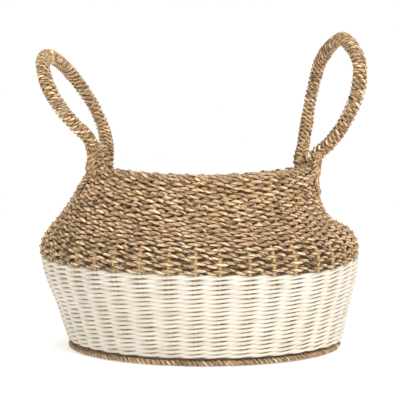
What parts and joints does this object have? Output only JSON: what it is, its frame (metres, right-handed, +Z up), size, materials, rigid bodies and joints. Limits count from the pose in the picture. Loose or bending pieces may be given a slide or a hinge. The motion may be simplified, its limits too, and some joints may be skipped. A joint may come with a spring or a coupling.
{
  "type": "storage basket",
  "caption": "Round belly basket woven in natural seagrass over a pale cord lower wall, with two wrapped rope handles that tilt.",
  "frame": {"origin": "on the floor under the middle of the basket's overall box", "axes": "+Z up out of the mouth; +X to the right-hand handle; +Y to the back"},
  "size_m": [0.3222, 0.3186, 0.3181],
  "materials": {
    "seagrass_cord": "matte",
    "white_cord": "matte",
    "stake": "satin",
    "foot_cord": "matte",
    "rim_cord": "matte",
    "handle_cord": "matte"
  },
  "bodies": {
    "basket": {"foot_braid": "foot_cord", "base_rounds_inner": "white_cord", "base_rounds_outer": "white_cord", "base_sticks_lengthwise": "stake", "base_sticks_crosswise": "stake", "white_course_01": "white_cord", "white_course_02": "white_cord", "white_course_03": "white_cord", "white_course_04": "white_cord", "white_course_05": "white_cord", "white_course_06": "white_cord", "white_course_07": "white_cord", "white_course_08": "white_cord", "white_course_09": "white_cord", "white_course_10": "white_cord", "white_course_11": "white_cord", "white_course_12": "white_cord", "white_course_13": "white_cord", "white_course_14": "white_cord", "white_course_15": "white_cord", "white_course_16": "white_cord", "white_course_17": "white_cord", "white_course_18": "white_cord", "white_course_19": "white_cord", "seagrass_course_01": "seagrass_cord", "seagrass_course_02": "seagrass_cord", "seagrass_course_03": "seagrass_cord", "seagrass_course_04": "seagrass_cord", "seagrass_course_05": "seagrass_cord", "seagrass_course_06": "seagrass_cord", "seagrass_course_07": "seagrass_cord", "seagrass_course_08": "seagrass_cord", "seagrass_course_09": "seagrass_cord", "seagrass_course_10": "seagrass_cord", "seagrass_course_11": "seagrass_cord", "seagrass_course_12": "seagrass_cord", "seagrass_course_13": "seagrass_cord", "seagrass_course_14": "seagrass_cord", "seagrass_course_15": "seagrass_cord", "seagrass_course_16": "seagrass_cord", "side_stakes": "stake", "rim_border": "rim_cord", "left_handle_near_lashing": "handle_cord", "left_handle_near_tail": "handle_cord", "left_handle_far_lashing": "handle_cord", "left_handle_far_tail": "handle_cord", "left_handle_inner_tails": "handle_cord", "right_handle_near_lashing": "handle_cord", "right_handle_near_tail": "handle_cord", "right_handle_far_lashing": "handle_cord", "right_handle_far_tail": "handle_cord", "right_handle_inner_tails": "handle_cord"},
    "left_handle": {"left_handle_core": "handle_cord", "left_handle_wrap": "handle_cord", "left_handle_knots": "handle_cord"},
    "right_handle": {"right_handle_core": "handle_cord", "right_handle_wrap": "handle_cord", "right_handle_knots": "handle_cord"}
  },
  "joints": [
    {"name": "left_handle_tilt", "type": "hinge", "parent": "basket", "child": "left_handle", "pos_m": [-0.09975, 0, 0.19], "axis": [0.0266, 0.9996, 0], "range_deg": [-45, 60]},
    {"name": "right_handle_tilt", "type": "hinge", "parent": "basket", "child": "right_handle", "pos_m": [0.109, 0, 0.19], "axis": [-0.0637, 0.998, 0], "range_deg": [-50, 55]}
  ]
}
